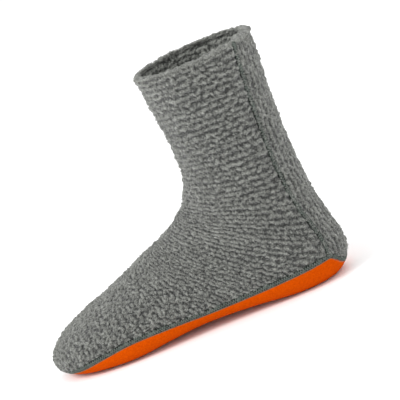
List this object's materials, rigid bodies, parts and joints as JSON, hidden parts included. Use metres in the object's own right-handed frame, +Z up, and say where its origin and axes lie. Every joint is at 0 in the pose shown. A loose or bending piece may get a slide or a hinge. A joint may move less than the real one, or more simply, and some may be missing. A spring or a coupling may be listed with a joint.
{
  "type": "bed sock",
  "caption": "Tall fleece bed sock for either foot, open at a plain collar, with a straight back panel, flat overlocked seams and a smooth sole turned up at the sides.",
  "frame": {"origin": "middle of the sock's box, on the floor that the sole stands on", "axes": "+Z up through the collar, +X towards the heel, so the toe points along -X, and +Y across the foot"},
  "size_m": [0.272, 0.0988, 0.2141],
  "materials": {
    "fleece": "grey curly teddy fleece in close rows, matt",
    "sole_cloth": "smooth orange cloth with a very short nap, matt",
    "seam_thread": "dark grey green overlock thread, matt"
  },
  "bodies": {
    "root": {"upper": "fleece", "back_panel": "fleece", "sole": "sole_cloth", "sole_seam": "seam_thread", "back_seam_near": "seam_thread", "back_seam_far": "seam_thread"}
  },
  "joints": []
}
